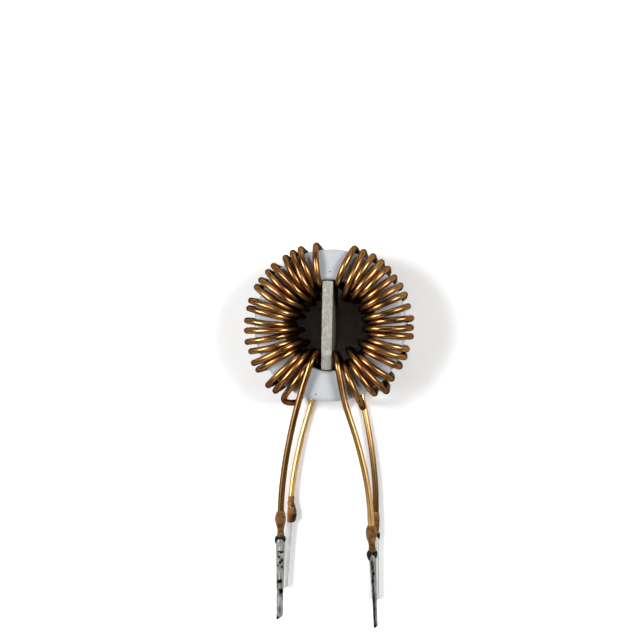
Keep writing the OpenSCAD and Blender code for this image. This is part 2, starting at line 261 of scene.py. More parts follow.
class Levels:
    """Heights, radii and bends of the wires, derived from the sizes, in millimetres."""

    def __init__(self):
        s = sizes()
        self.wire_r = s.wire_d / 2
        self.step = s.wire_d + s.wire_gap
        self.rear2 = self.wire_r
        self.rear1 = self.rear2 + self.step
        self.core_z0 = self.rear1 + self.wire_r + s.wire_gap
        self.core_z1 = self.core_z0 + s.core_h
        self.front1 = self.core_z1 + self.wire_r + s.wire_gap
        self.front2 = self.front1 + self.step
        self.core_r = s.core_od / 2
        self.bore_r = self.core_r - s.core_wall
        self.rim = self.core_r + self.wire_r + s.wire_gap
        self.bore1 = self.bore_r - self.wire_r - s.wire_gap
        self.bore2 = self.bore1 - self.step
        self.bend1 = s.core_edge_r + self.wire_r + s.wire_gap
        self.bend2 = self.bend1 + self.step
        self.lead_bore = self.bore2 - self.step
        self.lead_back = self.bore1 - self.step / 3
        self.place = self.core_place()

    def core_place(self):
        """Place of the ring's axis, which puts the part's middle at the origin."""
        s = sizes()

        def far(way, *sides):
            """How far turns reach, by the sine or the cosine of their angle."""
            turns = [turn for side in sides for turn in FIRST_PASS[side] + SECOND_PASS[side]]
            return max((self.rim + turn[2]) * way(math.radians(turn[0])) for turn in turns)

        foot = s.lead_curve + s.tin_len + max(lead[3] - lead[5] for lead in LEADS[LEFT] + LEADS[RIGHT])
        x = (far(math.sin, LEFT) - far(math.sin, RIGHT)) / 2
        return Vector((x, (self.core_r + foot - far(math.cos, LEFT, RIGHT) - self.wire_r) / 2, 0))


# Route of the wire

CORNER_STEPS = 8
LEAD_STEPS = 24


def polar(side, r, at, z):
    """Point at radius r and height z, at an angle from the top of the ring towards one side."""
    a = math.radians(at)
    return Vector((side * r * math.sin(a), r * math.cos(a), z))


def bend(side, r, z, radius, start, at):
    """Quarter bend of a turn about a centre at radius r and height z."""
    points = []
    for i in range(CORNER_STEPS + 1):
        b = math.radians(start + 90 * i / CORNER_STEPS)
        points.append(polar(side, r + radius * math.cos(b), at, z + radius * math.sin(b)))
    return points


def beside_plate(side, r, at, lv):
    """Angle of a wire at radius r in the bore, kept far enough round to pass beside the plate."""
    s = sizes()
    lean = math.radians(s.divider_lean)
    y = r * math.cos(math.radians(at))
    face = s.divider_t / 2 / math.cos(lean) + side * (s.divider_shift + y * math.tan(lean))
    least = math.degrees(math.asin(min(1, (face + lv.wire_r + s.wire_gap) / r)))
    return min(max(at, least), 180 - least)


def bore_drop(side, r, at, z, radius, lv):
    return bend(side, r + radius, z - radius, radius, 90, beside_plate(side, r, at, lv))


def bore_leave(side, r, at, z, radius, lv):
    return bend(side, r + radius, z + radius, radius, 180, beside_plate(side, r, at, lv))


def arch(side, top, end, fall, at_top, at_end, hook=0):
    """Half of a turn's arch over the front face, from its top (r, z) down to the radius of its end.

    The hook turns its end aside by an angle, as the first loop of a winding is turned.
    """
    points = []
    for i in range(2 * CORNER_STEPS + 1):
        u = math.pi / 4 * i / CORNER_STEPS
        r = top[0] + (end - top[0]) * math.sin(u)
        at = at_top + (at_end - at_top) * math.sin(u) + hook * math.sin(u) ** LOOP_POWER
        points.append(polar(side, r, at, top[1] - fall * (1 - math.cos(u))))
    return points


def turn_route(side, turn, lv, second, twist, is_last):
    """One turn, from the back of the rim, over the front and down the bore to the back again."""
    s = sizes()
    at_rim, at_bore, rim_slack, bore_slack = turn
    rim = lv.rim + rim_slack
    rear = lv.rear2 if second else lv.rear1
    rise = bend(side, rim - lv.bend1, rear + lv.bend1, lv.bend1, 270, at_rim + twist)
    hook = max(0, LOOP_HOOK * (twist - RIM_TWIST))
    middle = polar(side, rim, at_rim + (twist + hook) / 2, (lv.core_z0 + lv.core_z1) / 2)
    outer = LOOP_FALL if hook else s.arch_fall + SLACK_FALL * rim_slack
    if second:
        inside, inner = lv.bore2 - bore_slack, s.arch_fall + lv.step * LAYER_FALL
        rise_by = s.arch_rise + lv.step * LAYER_RISE
        top = (lv.core_r - TOP_SHARE * s.core_wall, lv.front1 + rise_by)
        outer += RIM_FALL
        leave = bore_leave(side, inside, at_bore + BORE_TWIST, lv.rear2, lv.bend2, lv)
    else:
        inside, inner = lv.bore1, s.arch_fall
        top = (lv.core_r - s.core_wall / 2, lv.front1 + s.arch_rise)
        back = at_bore if is_last else at_bore - BORE_TWIST
        leave = bore_leave(side, inside, back, lv.rear2 if is_last else lv.rear1, lv.bend1, lv)
    at_in = beside_plate(side, inside, at_bore, lv)
    at_top = at_in + (at_rim - at_in) * (top[0] - inside) / (rim - inside)
    climb = arch(side, top, rim, outer, at_top, at_rim, hook)[::-1]
    drop = arch(side, top, inside, inner, at_top, at_in)
    return rise + [middle] + climb + drop[1:] + leave


def lead_point(lead, row, run, lv):
    """Centre of a lead at a distance from the ring's rim."""
    s = sizes()
    rim_x, end_x, slope = lead[:3]
    out = math.copysign(slope, end_x)
    ease = max(0, 1 - run / s.lead_curve)
    x = end_x + out * (run - s.lead_curve) + (rim_x - end_x + out * s.lead_curve) * ease ** LEAD_EASE
    if row == FRONT:
        z = lv.front1 + lv.step / 2 * ease ** 2
    else:
        z = lv.rear2 + s.rear_lead_rise * (1 - ease)
    return Vector((x, -lv.core_r - run, z))


def lead_route(lead, row, lv):
    curve = sizes().lead_curve
    points = [lead_point(lead, row, curve * i / LEAD_STEPS, lv) for i in range(LEAD_STEPS + 1)]
    return points + [lead_point(lead, row, curve + lead[3], lv)]


def wire_route(side, lv):
    """Whole wire of one winding, from the tinned end of its front lead to that of its rear lead."""
    entry = LEAD_ENTRY[side]
    drop = bore_drop(side, lv.lead_bore, entry[0], lv.front2, lv.bend2, lv)
    route = lead_route(LEADS[side][FRONT], FRONT, lv)[::-1]
    route += [(route[-1] + drop[0]) / 2] + drop
    route += bore_leave(side, lv.lead_back, entry[1], lv.rear1, lv.bend1, lv)
    first = FIRST_PASS[side]
    for i, turn in enumerate(first):
        twist = RIM_TWIST if i else START_TWIST[side]
        route += turn_route(side, turn, lv, False, twist, i == len(first) - 1)
    for turn in SECOND_PASS[side]:
        route += turn_route(side, turn, lv, True, -RIM_TWIST, False)
    return route + lead_route(LEADS[side][REAR], REAR, lv)


def evened(points, gap):
    """The same route with points at equal distances."""
    runs = [0.0]
    for p, q in zip(points, points[1:]):
        runs.append(runs[-1] + (q - p).length)
    count = round(runs[-1] / gap)
    result, k = [], 0
    for i in range(count + 1):
        want = runs[-1] * i / count
        while k < len(points) - 2 and runs[k + 1] < want:
            k += 1
        span = runs[k + 1] - runs[k]
        result.append(points[k].lerp(points[k + 1], (want - runs[k]) / span if span else 0))
    return result


def blurred(values, gap, reach):
    """Numbers along a route, each averaged with its neighbours over a reach."""
    result = []
    for i in range(len(values)):
        spread = reach(i * gap)
        room = min(i, len(values) - 1 - i, round(3 * spread / gap))
        total, sum_up = 0.0, 0.0
        for k in range(-room, room + 1):
            weight = math.exp(-0.5 * (k * gap / spread) ** 2)
            total += weight
            sum_up += values[i + k] * weight
        result.append(sum_up / total)
    return result


def relaxed(points, gap, reach, sway):
    """The same route eased as stiff wire takes it: gently round the ring, tighter over its edges."""
    radii = blurred([math.hypot(p.x, p.y) for p in points], gap, reach)
    heights = blurred([p.z for p in points], gap, reach)
    turns = blurred([math.atan2(p.x, -p.y) for p in points], gap, lambda run: sway)
    return [Vector((r * math.sin(a), -r * math.cos(a), z)) for r, a, z in zip(radii, turns, heights)]


def off_ring(p, lv):
    """How far a wire's centre must move to clear the ring's coat, as a vector."""
    s = sizes()
    r = math.hypot(p.x, p.y)
    dr, dz = r - (lv.core_r + lv.bore_r) / 2, p.z - (lv.core_z0 + lv.core_z1) / 2
    over_r = max(0, abs(dr) - s.core_wall / 2 + s.core_edge_r)
    over_z = max(0, abs(dz) - s.core_h / 2 + s.core_edge_r)
    away = math.hypot(over_r, over_z)
    short = s.core_edge_r + lv.wire_r - away
    if short <= 0 or away == 0:
        return Vector()
    out = math.copysign(over_r, dr) / away
    return Vector((p.x / r * out, p.y / r * out, math.copysign(over_z, dz) / away)) * short


def settled(points, gap, lv):
    """The same route with turns that would run into each other pushed apart, clear of the ring."""
    least, spread = sizes().wire_d + 0.01, 0.6
    rounds, still, same_turn = 40, 0.005, round(4 / gap)
    for _ in range(rounds):
        tree = kdtree.KDTree(len(points))
        for i, p in enumerate(points):
            tree.insert(p, i)
        tree.balance()
        pushes = []
        for i, p in enumerate(points):
            near = [(d, j) for q, j, d in tree.find_range(p, least) if abs(i - j) > same_turn]
            d, j = min(near, default=(least, i))
            pushes.append((p - points[j]) * ((least - d) / d) if near else Vector())
        if max(push.length for push in pushes) < still:
            break
        parts = [blurred([push[k] for push in pushes], gap, lambda run: spread) for k in range(3)]
        points = [p + Vector(push) for p, push in zip(points, zip(*parts))]
        points = [p + off_ring(p, lv) for p in points]
    return points


# Meshes

def add_piece(name, mesh, material, replaced):
    """Puts a finished mesh in the scene in place of the solids it stands for."""
    piece = bpy.data.objects.new(name, mesh)
    bpy.context.scene.collection.objects.link(piece)
    if material is not None:
        mesh.materials.clear()
        mesh.materials.append(material)
    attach(piece, "root")
    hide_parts(*replaced)


def smooth(mesh):
    mesh.polygons.foreach_set("use_smooth", [True] * len(mesh.polygons))
    mesh.update()


def loft(name, rings, loop=False):
    """Closed mesh through rings of points of equal count, capped at both ends or joined into a loop."""
    n = len(rings[0])
    verts = [p for ring in rings for p in ring]
    faces = []
    for i in range(len(rings) if loop else len(rings) - 1):
        a, b = i * n, (i + 1) % len(rings) * n
        for j in range(n):
            k = (j + 1) % n
            faces.append((a + j, a + k, b + k, b + j))
    if not loop:
        last = (len(rings) - 1) * n
        faces.append(tuple(reversed(range(n))))
        faces.append(tuple(last + j for j in range(n)))
    mesh = bpy.data.meshes.new(name)
    mesh.from_pydata(verts, [], faces)
    mesh.validate()
    return mesh


def marked(mesh, marks):
    """Stores the marks of each point of a mesh, for its material to read."""
    for label in marks[0]:
        values = [mark[label] for mark in marks]
        mesh.attributes.new(label, "FLOAT", "POINT").data.foreach_set("value", values)


class LeadEnd:
    """Place, direction and lengths of the straight end of one lead."""

    def __init__(self, side, row, lv):
        s = sizes()
        lead = LEADS[side][row]
        self.key, self.sizes, self.wire_r = (side, row), s, lv.wire_r
        self.foot = lead_point(lead, row, s.lead_curve + lead[3], lv)
        self.along = (self.foot - lead_point(lead, row, s.lead_curve, lv)).normalized()
        self.up = Vector((0, 0, 1))
        self.across = self.up.cross(self.along).normalized()
        self.neck_len = s.neck_len - lead[4]
        self.tin_len = s.tin_len - lead[5]
        self.name = ROW_NAMES[row] + "_" + SIDE_NAMES[side]
        self.seed = Vector((17.0 * side, 29.0 * row, 5.0))
        self.ring_place = lv.place

    def at(self, run, radius, around, sag=0.0):
        """Point at a distance along the lead from its tinned end, in metres in the shared frame."""
        p = self.foot + self.along * run + self.ring_place
        p += self.across * (radius * math.cos(around) + sag) + self.up * (radius * math.sin(around))
        return p * MM


def bead_spot(end, share, a):
    """Point of a swollen bead, which runs on as a film over the burnt neck under it."""
    s, drop = end.sizes, end.key in DROPS
    run = (s.bead_len + end.neck_len + 0.05) * share
    t = min(1, run / s.bead_len)
    swell = PLUMP[end.key] * max(0, math.sin(math.pi * t ** 0.8)) ** 1.1
    if drop:
        swell = max(0, math.sin(math.pi / 2 * max(0, t - 0.3) / 0.7)) ** 1.4
    spot = Vector((math.cos(a), math.sin(a), run)) * 1.3 + end.seed
    lump = 0.5 + 0.5 * noise.noise(spot * 1.3)
    ripple = 0.5 + 0.5 * math.sin(5.2 * run + 2.5 * noise.noise(spot))
    thick = (s.bead_d / 2 - end.wire_r) * swell * (0.82 + 0.1 * lump + 0.08 * ripple)
    # Painted shade: darker in the troughs of its ripples, on top of the burnt patches
    dark = 0.55 + noise.noise(spot * 2.6) + 0.2 * (0.5 - ripple)
    if drop:
        thick *= 0.65 + 0.6 * math.cos(a)
        dark += 0.5 * math.cos(a)
        light = 0.75 - 0.9 * math.cos(a)
    else:
        # Painted shade: the bead's sides are painted darker
        dark += 0.22 * abs(math.cos(a)) ** 3
        light = 0.15 * lump + max(0, 0.4 - 3 * t)
    film = 0.012 + 0.16 * min(1, 3 * t) * lump * ripple
    run -= s.collar_len + end.neck_len + s.bead_len
    point = end.at(run, end.wire_r + max(film, thick), a, SAG[end.key] * swell)
    return point, {"burn": clamped(2.2 * (dark - 0.8)), "amber": clamped(light)}


def collar_spot(end, t, a):
    """Point of a ragged collar, which reaches down both sides of the tinned end like claws."""
    s, claw = end.sizes, abs(math.cos(a)) ** 1.6
    spot = Vector((math.cos(a), math.sin(a), 2 * t)) * 1.6 + end.seed
    ragged = 0.14 * noise.noise(spot * 2.2)
    if end.key in DROPS:
        swell = math.sqrt(1 - t ** 5)
        span = 0.93
        thick = 0.7 + 0.6 * math.cos(a) + ragged
        amber = clamped(0.5 - math.cos(a) + 3 * ragged)
    else:
        swell = PLUMP[end.key] * max(0, math.sin(math.pi * min(1, 0.06 + 0.94 * t ** 0.9))) ** 0.7
        span = 0.28 + (0.58 - 0.12 * math.cos(a)) * claw + ragged * (1 - claw)
        thick = 0.35 + 0.6 * claw + ragged
        amber = 0
    radius = end.wire_r + 0.09 * (1 - t) + (s.collar_d / 2 - end.wire_r) * swell * thick
    return end.at(s.collar_len * (span * t - 1), radius, a, SAG[end.key] * swell), {"amber": amber}


def tin_spot(end, t, a):
    """Point of a tinned end, burnt in spots and cut at a slant, whose top is hidden by the collar."""
    s, hidden = end.sizes, 0.75 * end.sizes.collar_len
    top_r, tip_r, dull, white = SOLDER_LOOK[end.key]
    run = (hidden + end.tin_len) * t - hidden
    spot = Vector((math.cos(a), math.sin(a), run * 0.8)) + end.seed
    radius = tip_r + (top_r - tip_r) * (1 - max(0, run) / end.tin_len) ** 2
    if run > 0:
        radius *= 1 + 0.06 * noise.noise(spot * 1.5)
    run -= tip_r * math.tan(math.radians(s.tip_cut)) * (1 + math.cos(a)) * t
    burn = 0
    for place, around, size in BURNT_SPOTS.get(end.key, ()):
        turn = (math.degrees(a) - around + 180) % 360 - 180
        away = math.hypot(run - place, math.radians(turn) * radius)
        away += 0.35 * size * noise.noise(spot * 5)
        burn = max(burn, min(1, 3.5 * (1 - away / size)))
    # Painted shade: the sides of each tinned end are painted darker, on top of its darker tone
    tarnish = min(1, dull + (1 - white) * 0.6 * abs(math.cos(a)) ** 3)
    return end.at(run, radius, a), {"burn": burn, "tarnish": tarnish, "white": white}


def dress_ends(kind, spot, rows, sides, material, solid):
    """Makes one piece round each lead, whose points and their marks a function gives."""
    lv = Levels()
    around = [2 * math.pi * j / sides for j in range(sides)]
    for end in [LeadEnd(side, row, lv) for side in (LEFT, RIGHT) for row in (FRONT, REAR)]:
        rings = [[spot(end, i / rows, a) for a in around] for i in range(rows + 1)]
        mesh = loft(kind + end.name, [[point for point, _ in ring] for ring in rings])
        marked(mesh, [mark for ring in rings for _, mark in ring])
        smooth(mesh)
        add_piece(kind + end.name, mesh, material, [solid + end.name])


# Materials

def mottle_group():
    """Blotches at a chosen scale: a mask from 0 to 1 that changes over the surface."""
    name = "Mottle"
    if name in bpy.data.node_groups:
        return bpy.data.node_groups[name]
    tree = bpy.data.node_groups.new(name, "ShaderNodeTree")
    for label, value in (("Scale", 300.0), ("Detail", 4.0), ("Low", 0.4), ("High", 0.6)):
        socket = tree.interface.new_socket(name=label, in_out="INPUT", socket_type="NodeSocketFloat")
        socket.default_value = value
    tree.interface.new_socket(name="Mask", in_out="OUTPUT", socket_type="NodeSocketFloat")
    nodes, links = tree.nodes, tree.links
    given, out = nodes.new("NodeGroupInput"), nodes.new("NodeGroupOutput")
    coords, grain = nodes.new("ShaderNodeTexCoord"), nodes.new("ShaderNodeTexNoise")
    band = nodes.new("ShaderNodeMapRange")
    links.new(coords.outputs["Object"], grain.inputs["Vector"])
    links.new(given.outputs["Scale"], grain.inputs["Scale"])
    links.new(given.outputs["Detail"], grain.inputs["Detail"])
    links.new(grain.outputs["Fac"], band.inputs["Value"])
    links.new(given.outputs["Low"], band.inputs["From Min"])
    links.new(given.outputs["High"], band.inputs["From Max"])
    links.new(band.outputs["Result"], out.inputs["Mask"])
    return tree


class Skin:
    """A material while it is built, with its nodes, its links and its shader."""

    def __init__(self, name):
        self.material = bpy.data.materials.new(name)
        self.material.use_nodes = True
        self.nodes, self.links = self.material.node_tree.nodes, self.material.node_tree.links
        self.shader = self.nodes["Principled BSDF"]

    def put(self, value, socket):
        """Links a socket to an input, or sets the input to a number or a colour."""
        if isinstance(value, bpy.types.NodeSocket):
            self.links.new(value, socket)
        else:
            socket.default_value = (*value, 1) if socket.type == "RGBA" else value

    def fill(self, node, **inputs):
        """Puts values on a node's inputs, named with _ for each space."""
        for name, value in inputs.items():
            self.put(value, node.inputs[name.replace("_", " ")])

    def wear(self, **inputs):
        """Puts values on the shader's inputs."""
        self.fill(self.shader, **inputs)

    def node(self, kind, **inputs):
        """A new node with values on its inputs."""
        node = self.nodes.new("ShaderNode" + kind)
        self.fill(node, **inputs)
        return node

    def mottle(self, scale, low, high, detail=4.0):
        """Mask of the shared blotches."""
        group = self.node("Group")
        group.node_tree = mottle_group()
        self.fill(group, Scale=scale, Detail=detail, Low=low, High=high)
        return group.outputs["Mask"]

    def mix(self, mask, a, b):
        """Colour that goes from a to b with a mask; each colour is a value or a socket."""
        mix = self.node("Mix")
        mix.data_type = "RGBA"
        self.fill(mix, Factor=mask)
        for label, colour in (("A", a), ("B", b)):
            self.put(colour, [i for i in mix.inputs if i.name == label and i.type == "RGBA"][0])
        return [o for o in mix.outputs if o.type == "RGBA"][0]

    def band(self, value, low, high, out_low, out_high):
        """A value moved from one range to another, kept inside it."""
        ends = {"From_Min": low, "From_Max": high, "To_Min": out_low, "To_Max": out_high}
        return self.node("MapRange", Value=value, **ends).outputs["Result"]

    def sum(self, a, b):
        """Two values added up."""
        add = self.node("Math")
        self.put(a, add.inputs[0])
        self.put(b, add.inputs[1])
        return add.outputs["Value"]

    def point(self, name):
        """A number stored on the mesh's points."""
        node = self.node("Attribute")
        node.attribute_name = name
        return node.outputs["Fac"]

    def fibres(self, stretch, scale, detail):
        """Noise drawn out along the axes."""
        drawn = self.node("Mapping", Vector=self.node("TexCoord").outputs["Object"], Scale=stretch)
        grain = self.node("TexNoise", Vector=drawn.outputs["Vector"], Scale=scale, Detail=detail)
        return grain.outputs["Fac"]

    def distance(self, place, axes=(1, 1, 1)):
        """Distance from a place, counted along some axes only."""
        flat, away = self.node("VectorMath"), self.node("VectorMath")
        flat.operation, away.operation = "MULTIPLY", "DISTANCE"
        self.put(self.node("TexCoord").outputs["Object"], flat.inputs[0])
        self.put(axes, flat.inputs[1])
        self.put(flat.outputs["Vector"], away.inputs[0])
        self.put(place, away.inputs[1])
        return away.outputs["Value"]

    def bump(self, height, strength, distance):
        """Unevenness of the surface, with its depth in metres."""
        bump = self.node("Bump", Height=height, Strength=strength, Distance=distance)
        self.wear(Normal=bump.outputs["Normal"])


def shaded(colour, factor):
    return tuple(min(1, factor * c) for c in colour)


def copper_material():
    """Copper under clear enamel, uneven along the wire and scorched near the tinned ends, with painted
    shade and painted highlight on the leads and painted shade on the turns' outer and bore runs.
    """
    skin, f = Skin("enamelled copper"), finish()
    colour = skin.mix(skin.mottle(170, 0.38, 0.62, 2.0), f.copper_deep, f.copper)
    colour = skin.mix(skin.band(skin.mottle(230, 0.5, 0.75, 1.0), 0, 1, 0, 0.5), colour, f.copper_red)
    # Painted highlight and painted shade on the leads, and painted shade on the turns' outer and bore runs
    colour = skin.mix(skin.point("shine"), colour, f.copper_bright)
    colour = skin.mix(skin.point("tarnish"), colour, f.copper_dark)
    colour = skin.mix(skin.point("scorch"), colour, shaded(f.varnish, 1.2))
    uneven = skin.band(skin.mottle(260, 0.3, 0.7, 1.0), 0, 1, 0.26, 0.33)
    skin.wear(
        Base_Color=colour, Metallic=skin.band(skin.point("scorch"), 0, 1, 1, 0.2),
        Specular_Tint=f.copper_edge, Coat_Weight=0.02, Coat_Roughness=0.12,
        Roughness=skin.sum(uneven, skin.band(skin.point("drawn"), 0, 1, 0, 0.02)),
    )
    skin.bump(skin.mottle(700, 0.2, 0.8, 1.0), 0.015, 0.0001)
    return skin.material


def coating_material():
    """Satin white epoxy with faint unevenness and a few dark specks, and painted shade down the bore."""
    skin, f, lv = Skin("white coating"), finish(), Levels()
    colour = skin.mix(skin.mottle(160, 0.3, 0.7), f.coating, shaded(f.coating, 0.94))
    out = skin.distance(lv.place * MM, (1, 1, 0))
    # Painted shade: the coat on the wall of the bore is painted dark
    colour = skin.mix(skin.band(out, lv.bore_r * MM, (lv.bore_r + 0.2) * MM, 1, 0), colour, f.bore)
    for place in COAT_SPECKS:
        away = skin.distance((Vector((*place, lv.core_z1)) + lv.place) * MM)
        colour = skin.mix(skin.band(away, 0.1 * MM, 0.17 * MM, 1, 0), colour, f.speck)
    skin.wear(Base_Color=colour, Roughness=skin.band(skin.mottle(500, 0.3, 0.7), 0, 1, 0.38, 0.5))
    skin.bump(skin.mottle(1100, 0.2, 0.8), 0.12, 0.0001)
    return skin.material


def laminate_material():
    """Fibre laminate: matt faces painted darker as painted shade, with short fibres showing along the cut
    edge.
    """
    skin, f = Skin("fibre laminate"), finish()
    fibres = skin.fibres((2.0, 0.7, 1.0), 2000, 5)
    colour = skin.mix(skin.band(fibres, 0.4, 0.62, 0, 1), shaded(f.laminate, 0.66), f.laminate)
    colour = skin.mix(skin.mottle(1300, 0.56, 0.7), colour, shaded(f.laminate, 1.3))
    # Painted shade on the plate's faces
    colour = skin.mix(skin.point("face"), colour, f.laminate_face)
    skin.wear(Base_Color=colour, Roughness=0.75)
    skin.bump(fibres, 0.4, 0.0001)
    return skin.material


def varnish_material():
    """Varnish that boiled and set: brown gloss, amber where it is thin and black where it burnt, with
    painted shade darkening its sides and the troughs of its ripples.
    """
    skin, f = Skin("burnt varnish"), finish()
    colour = skin.mix(skin.mottle(900, 0.38, 0.62), shaded(f.varnish, 0.5), shaded(f.varnish, 1.6))
    colour = skin.mix(skin.point("amber"), colour, f.amber)
    # Black where it burnt, and painted shade on the beads' sides and troughs
    colour = skin.mix(skin.point("burn"), colour, f.burnt)
    skin.wear(
        Base_Color=colour, Roughness=skin.band(skin.mottle(1100, 0.35, 0.65), 0, 1, 0.16, 0.42),
        Specular_IOR_Level=0.12, Coat_Roughness=0.1,
        Coat_Weight=skin.band(skin.mottle(1300, 0.55, 0.6), 0, 1, 0, 0.8),
    )
    skin.bump(skin.mottle(1500, 0.2, 0.8), 1.0, 0.0004)
    return skin.material


def soot_material():
    """Matt black soot with a few dull glints."""
    skin, f = Skin("soot"), finish()
    colour = skin.mix(skin.mottle(1600, 0.5, 0.75), f.soot, f.ash)
    colour = skin.mix(skin.point("amber"), colour, shaded(f.amber, 0.8))
    rough = skin.band(skin.mottle(1300, 0.3, 0.7), 0, 1, 0.45, 0.8)
    skin.wear(Base_Color=colour, Roughness=rough, Specular_IOR_Level=0.07)
    skin.bump(skin.mottle(2600, 0.2, 0.8), 0.6, 0.00015)
    return skin.material


def solder_material():
    """Dull solder over copper wire, darker on some ends and down its sides as painted shade, streaked along
    the wire and burnt in spots; the rear ends are painted pale, as painted light.
    """
    skin, f = Skin("solder"), finish()
    streaks = skin.fibres((1.0, 0.14, 1.0), 3000, 2)
    colour = skin.mix(skin.band(streaks, 0.42, 0.58, 0, 1), shaded(f.solder, 0.34), f.solder)
    # Painted shade down the sides of the tinned ends
    colour = skin.mix(skin.point("tarnish"), colour, shaded(f.solder, 0.3))
    # Painted light: the rear ends painted pale
    colour = skin.mix(skin.point("white"), colour, f.solder_pale)
    colour = skin.mix(skin.point("burn"), colour, f.soot)
    skin.wear(
        Base_Color=colour, Metallic=skin.band(skin.point("white"), 0, 1, 1, 0),
        Specular_Tint=f.solder_edge, Roughness=skin.band(skin.mottle(900, 0.3, 0.7), 0, 1, 0.3, 0.5),
    )
    skin.bump(streaks, 0.4, 0.0001)
    return skin.material


def ferrite_material():
    """Sintered ferrite, hidden under the coat."""
    skin, f = Skin("sintered ferrite"), finish()
    colour = skin.mix(skin.mottle(2500, 0.3, 0.7), f.ferrite, shaded(f.ferrite, 1.8))
    skin.wear(Base_Color=colour, Roughness=0.7)
    return skin.material


# Geometry node tree for the wires

def wire_tree(material):
    """Tree that draws wire of a given radius along the edges of a route."""
    tree = bpy.data.node_groups.new("Draw Wire", "GeometryNodeTree")
    sockets = (
        ("Route", "INPUT", "Geometry"), ("Wire Radius", "INPUT", "Float"), ("Sides", "INPUT", "Int"),
        ("Wire", "OUTPUT", "Geometry"),
    )
    for name, in_out, kind in sockets:
        tree.interface.new_socket(name=name, in_out=in_out, socket_type="NodeSocket" + kind)
    nodes, links = tree.nodes, tree.links
    kinds = (
        "NodeGroupInput", "GeometryNodeMeshToCurve", "GeometryNodeCurveToMesh",
        "GeometryNodeSetShadeSmooth", "GeometryNodeRealizeInstances", "GeometryNodeSetMaterial",
        "NodeGroupOutput",
    )
    chain = [nodes.new(kind) for kind in kinds]
    for before, after in zip(chain, chain[1:]):
        links.new(before.outputs[0], after.inputs[0])
    given, sweep, coat = chain[0], chain[2], chain[5]
    ring = nodes.new("GeometryNodeCurvePrimitiveCircle")
    links.new(given.outputs["Wire Radius"], ring.inputs["Radius"])
    links.new(given.outputs["Sides"], ring.inputs["Resolution"])
    links.new(ring.outputs["Curve"], sweep.inputs["Profile Curve"])
    sweep.inputs["Fill Caps"].default_value = True
    coat.inputs["Material"].default_value = material
    return tree


def socket_id(tree, name):
    return [i.identifier for i in tree.interface.items_tree if i.name == name and i.in_out == "INPUT"][0]


def drawn_wire(name, points, marks, tree):
    """Plain mesh of the wire along the points, which are in metres, with its marks on its points."""
    line = bpy.data.meshes.new(name + " route")
    line.from_pydata(points, [(i, i + 1) for i in range(len(points) - 1)], [])
    marked(line, marks)
    carrier = bpy.data.objects.new(name + " route", line)
    bpy.context.scene.collection.objects.link(carrier)
    modifier = carrier.modifiers.new("Draw Wire", "NODES")
    modifier.node_group = tree
    modifier[socket_id(tree, "Wire Radius")] = sizes().wire_d / 2 * MM
    modifier[socket_id(tree, "Sides")] = 16
    evaluated = carrier.evaluated_get(bpy.context.evaluated_depsgraph_get())
    mesh = bpy.data.meshes.new_from_object(evaluated)
    carrier.modifiers.remove(modifier)
    bpy.data.objects.remove(carrier)
    bpy.data.meshes.remove(line)
    if len(mesh.polygons) < len(points):
        raise RuntimeError("the wire of " + name + " was not drawn")
    mesh.name = name
    return mesh


# Operators

class INDUCTOR_OT_wind_coils(bpy.types.Operator):
    """Winds both coils with their leads, each as one smooth wire"""

    bl_idname = "inductor.wind_coils"
    bl_label = "Wind Coils"

    def execute(self, context):
        s, lv = sizes(), Levels()
        tree = wire_tree(copper_material())
        gap, corner_reach, lead_reach, lead_room, past_rim = 0.3, 0.35, 1.3, 6.0, 1
        for side in (LEFT, RIGHT):
            even = evened(wire_route(side, lv), gap)
            full = (len(even) - 1) * gap
            front, rear = (s.lead_curve + LEADS[side][row][3] for row in (FRONT, REAR))

            def reach(run):
                near = min(abs(run - front - past_rim), abs(full - run - rear - past_rim))
                return corner_reach + (lead_reach - corner_reach) * max(0, 1 - near / lead_room)

            route = settled(relaxed(even, gap, reach, lead_reach), gap, lv)
            marks = []
            for i, p in enumerate(route):
                row, run, lead = FRONT, i * gap, front
                if run > full / 2:
                    row, run, lead = REAR, full - run, rear
                # Painted shade and painted highlight: how dark and how bright each lead is painted
                dark0, dark1, bright0, bright1 = LEAD_LOOK[side, row]
                burnt = s.collar_len + s.neck_len - LEADS[side][row][4] + s.bead_len / 2
                near, down = clamped((lead + LOOK_PAST - run) / LOOK_OVER), max(0, 1 - run / lead)
                r = math.hypot(p.x, p.y)
                # Painted shade: the turns' runs down the outside of the ring and in its bore are painted
                # darker
                run_shade_mask = clamped(max(r - lv.core_r + 0.1, lv.bore_r - r)) * (1 - near)
                run_shade_mask *= 1 - LOOSE_LACK * clamped((r - lv.core_r - LOOSE_FROM) / LOOSE_OVER)
                dark = near * min(1, dark0 + (dark1 - dark0) * down)
                marks.append({
                    "scorch": SCORCH * clamped((burnt + SCORCH_PAST - run) / SCORCH_OVER),
                    "tarnish": max(dark, RUN_SHADE * run_shade_mask),
                    "shine": near * max(0, bright0 + (bright1 - bright0) * down),
                    "drawn": near,
                })
            hidden = round(0.5 * s.collar_len / gap)
            points = [(p + lv.place) * MM for p in route[hidden:-hidden]]
            name = SIDE_NAMES[side]
            mesh = drawn_wire("coil_" + name, points, marks[hidden:-hidden], tree)
            replaced = ["winding_" + name, "lead_front_" + name, "lead_rear_" + name]
            add_piece("coil_" + name, mesh, None, replaced)
        return {"FINISHED"}


